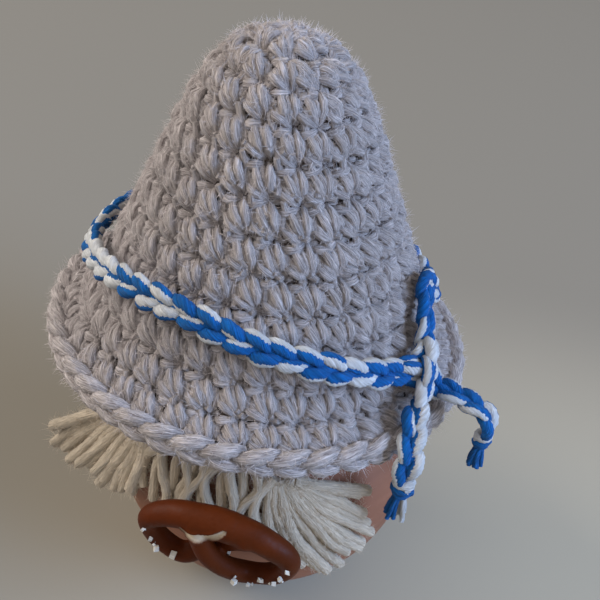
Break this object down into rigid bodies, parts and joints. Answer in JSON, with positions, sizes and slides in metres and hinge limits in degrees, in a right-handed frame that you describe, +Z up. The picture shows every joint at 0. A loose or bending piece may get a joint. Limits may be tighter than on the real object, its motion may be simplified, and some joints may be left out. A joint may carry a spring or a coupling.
{
  "type": "gnome figure",
  "caption": "Small gnome ornament: ball head with yarn hair and a salted pretzel, under a stuffed crocheted hat with a tied two-colour cord band.",
  "frame": {"origin": "middle of the flat under the head that the figure stands on", "axes": "+Z up, -Y out of the face, +X towards the side with the cord's tie"},
  "size_m": [0.0771, 0.0728, 0.0927],
  "materials": {
    "head_wood": "satin",
    "hair_yarn": "matte",
    "hat_yarn": "matte",
    "stuffing": "matte",
    "cord_blue": "matte",
    "cord_white": "matte",
    "pretzel_clay": "satin",
    "glue": "satin",
    "salt": "satin"
  },
  "bodies": {
    "figure": {"head": "head_wood", "hair_cap": "hair_yarn", "fringe_strand_1": "hair_yarn", "fringe_strand_2": "hair_yarn", "fringe_strand_3": "hair_yarn", "fringe_strand_4": "hair_yarn", "fringe_strand_5": "hair_yarn", "fringe_strand_6": "hair_yarn", "fringe_strand_7": "hair_yarn", "fringe_strand_8": "hair_yarn", "hair_bunch_left": "hair_yarn", "hair_bunch_right": "hair_yarn", "pretzel": "pretzel_clay", "pretzel_glue": "glue", "salt_grain_1": "salt", "salt_grain_2": "salt", "salt_grain_3": "salt", "salt_grain_4": "salt", "salt_grain_5": "salt", "salt_grain_6": "salt", "salt_grain_7": "salt", "salt_grain_8": "salt", "salt_grain_9": "salt", "salt_grain_10": "salt"},
    "filling": {"hat_stuffing": "stuffing"},
    "hat": {"hat": "hat_yarn"},
    "band": {"hat_band": "cord_blue", "band_tie": "cord_blue"},
    "tail_front": {"tail_front": "cord_blue", "tail_front_knot": "cord_blue", "tail_front_tassel": "cord_white"},
    "tail_side": {"tail_side": "cord_blue", "tail_side_knot": "cord_blue", "tail_side_tassel": "cord_blue"}
  },
  "joints": [
    {"name": "hat_turn", "type": "hinge", "parent": "figure", "child": "filling", "pos_m": [-0.006, 0.0042, 0.0512], "axis": [0, 0, 1], "range_deg": [-20, 240]},
    {"name": "hat_lift", "type": "slide", "parent": "filling", "child": "hat", "axis": [0, 0, 1], "range_m": [0, 0.06]},
    {"name": "band_lift", "type": "slide", "parent": "hat", "child": "band", "axis": [0, 0, 1], "range_m": [0, 0.05]},
    {"name": "tail_front_swing", "type": "hinge", "parent": "band", "child": "tail_front", "pos_m": [0.02347, -0.00826, 0.04657], "axis": [-0.9511, -0.309, 0], "range_deg": [0, 60]},
    {"name": "tail_side_swing", "type": "hinge", "parent": "band", "child": "tail_side", "pos_m": [0.02502, -0.00319, 0.04669], "axis": [-0.1045, -0.9945, 0], "range_deg": [0, 60]}
  ]
}
